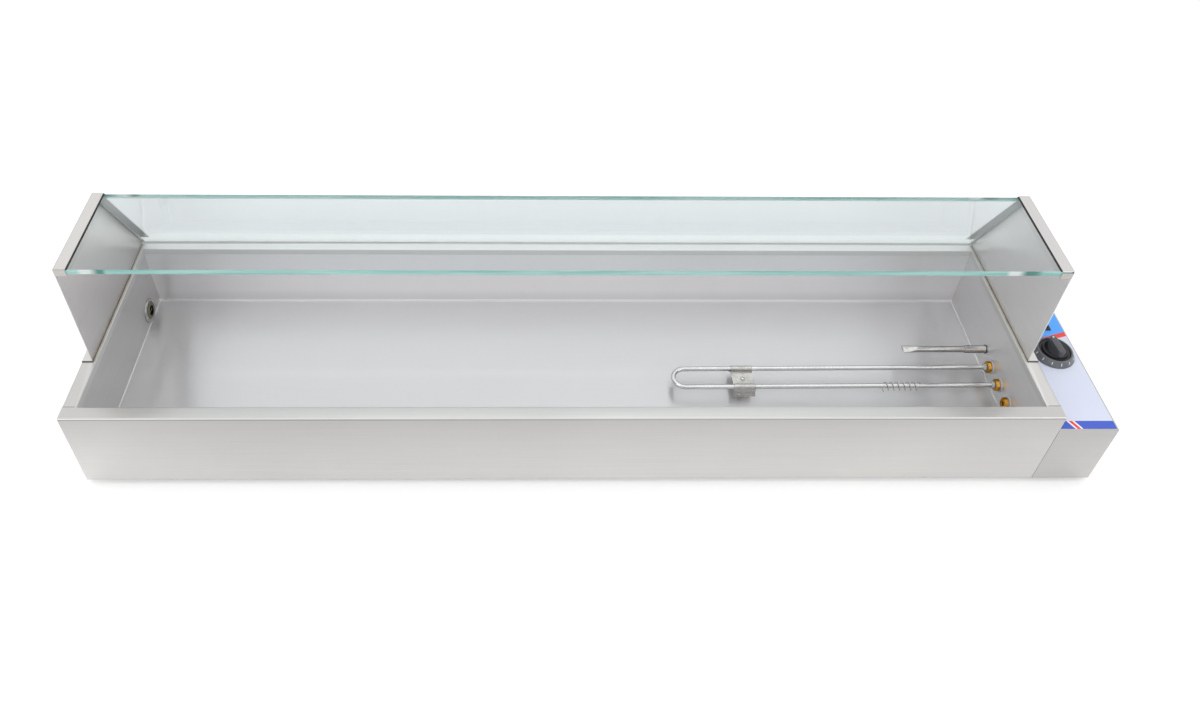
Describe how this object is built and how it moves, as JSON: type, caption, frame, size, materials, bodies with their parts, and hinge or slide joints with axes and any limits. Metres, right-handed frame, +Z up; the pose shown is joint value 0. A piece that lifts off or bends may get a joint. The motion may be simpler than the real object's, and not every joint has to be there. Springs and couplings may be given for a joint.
{
  "type": "bain marie food warmer",
  "caption": "Counter-top wet bain marie: long open steel well with a flat rail, U-shaped heating element, drain valve, sloped glass guard on end panels and a side control box.",
  "frame": {"origin": "middle of the whole footprint, on the counter under the rubber feet", "axes": "+X to the control box along the length, +Y to the back where the sloping glass meets the rail, +Z up"},
  "size_m": [1.52, 0.396, 0.328],
  "materials": {
    "casing_steel": "brushed along the length",
    "tank_steel": "satin",
    "guard_steel": "satin",
    "fastener_steel": "plain turned",
    "element_steel": "bright polished",
    "bracket_steel": "matte",
    "brass": "machined",
    "washer_pale": "smooth",
    "black_rubber": "matte",
    "seal_grey": "satin",
    "glass": "clear with a green edge",
    "insulator_white": "matte",
    "copper": "drawn tube",
    "black_plastic": "fine moulded",
    "bezel_grey": "gloss",
    "overlay_film": "printed film",
    "thermostat_grey": "matte",
    "wire_blue": "insulated wire"
  },
  "bodies": {
    "casing": {"well_tank": "tank_steel", "left_tank_end": "tank_steel", "right_tank_end": "tank_steel", "front_panel": "casing_steel", "rear_panel": "casing_steel", "left_end_panel": "casing_steel", "right_end_panel": "casing_steel", "base_plate": "casing_steel", "rubber_feet": "black_rubber", "foot_screws": "fastener_steel", "left_guard_panel": "guard_steel", "right_guard_panel": "guard_steel", "left_glass_ledge": "guard_steel", "right_glass_ledge": "guard_steel", "top_glass": "glass", "rear_glass": "glass", "glass_seals": "black_rubber", "glass_foot_seal": "seal_grey", "guard_screws": "fastener_steel", "heating_element": "element_steel", "element_insulators": "insulator_white", "element_ferrules": "washer_pale", "element_glands": "brass", "port_plug": "brass", "port_washers": "washer_pale", "gland_nuts": "brass", "element_pins": "fastener_steel", "bracket_strap": "bracket_steel", "bracket_clamp": "bracket_steel", "bracket_screw": "fastener_steel", "element_spring": "element_steel", "thermowell": "bracket_steel", "thermowell_nut": "brass", "thermostat_bulb": "copper", "drain_flange_ring": "tank_steel", "drain_seals": "black_rubber", "drain_spigot": "brass", "drain_lock_nut": "brass", "drain_valve_body": "brass", "control_cover": "casing_steel", "control_base": "casing_steel", "control_overlay": "overlay_film", "control_screws": "fastener_steel", "dial_bezel": "bezel_grey", "thermostat_body": "thermostat_grey", "thermostat_screws": "fastener_steel", "switch_housing": "black_plastic", "terminal_block": "insulator_white", "cable_gland": "black_plastic", "cable_gland_nut": "black_plastic", "control_wiring": "wire_blue"},
    "knob": {"control_knob": "black_plastic", "knob_shaft": "fastener_steel"},
    "rocker": {"switch_rocker": "black_plastic"},
    "drain_handle": {"drain_ball": "element_steel", "drain_stem": "fastener_steel", "drain_lever": "fastener_steel", "lever_sleeve": "black_rubber", "lever_nut": "fastener_steel"}
  },
  "joints": [
    {"name": "knob_turn", "type": "hinge", "parent": "casing", "child": "knob", "pos_m": [0.722, -0.058, 0.1245], "axis": [0, 0, 1], "range_deg": [-270, 0]},
    {"name": "rocker_tilt", "type": "hinge", "parent": "casing", "child": "rocker", "pos_m": [0.722, 0.002, 0.1205], "axis": [0, 1, 0], "range_deg": [0, 20]},
    {"name": "drain_valve_turn", "type": "hinge", "parent": "casing", "child": "drain_handle", "pos_m": [-0.73, 0.095, 0.056], "axis": [0, 0, 1], "range_deg": [-90, 0]}
  ]
}
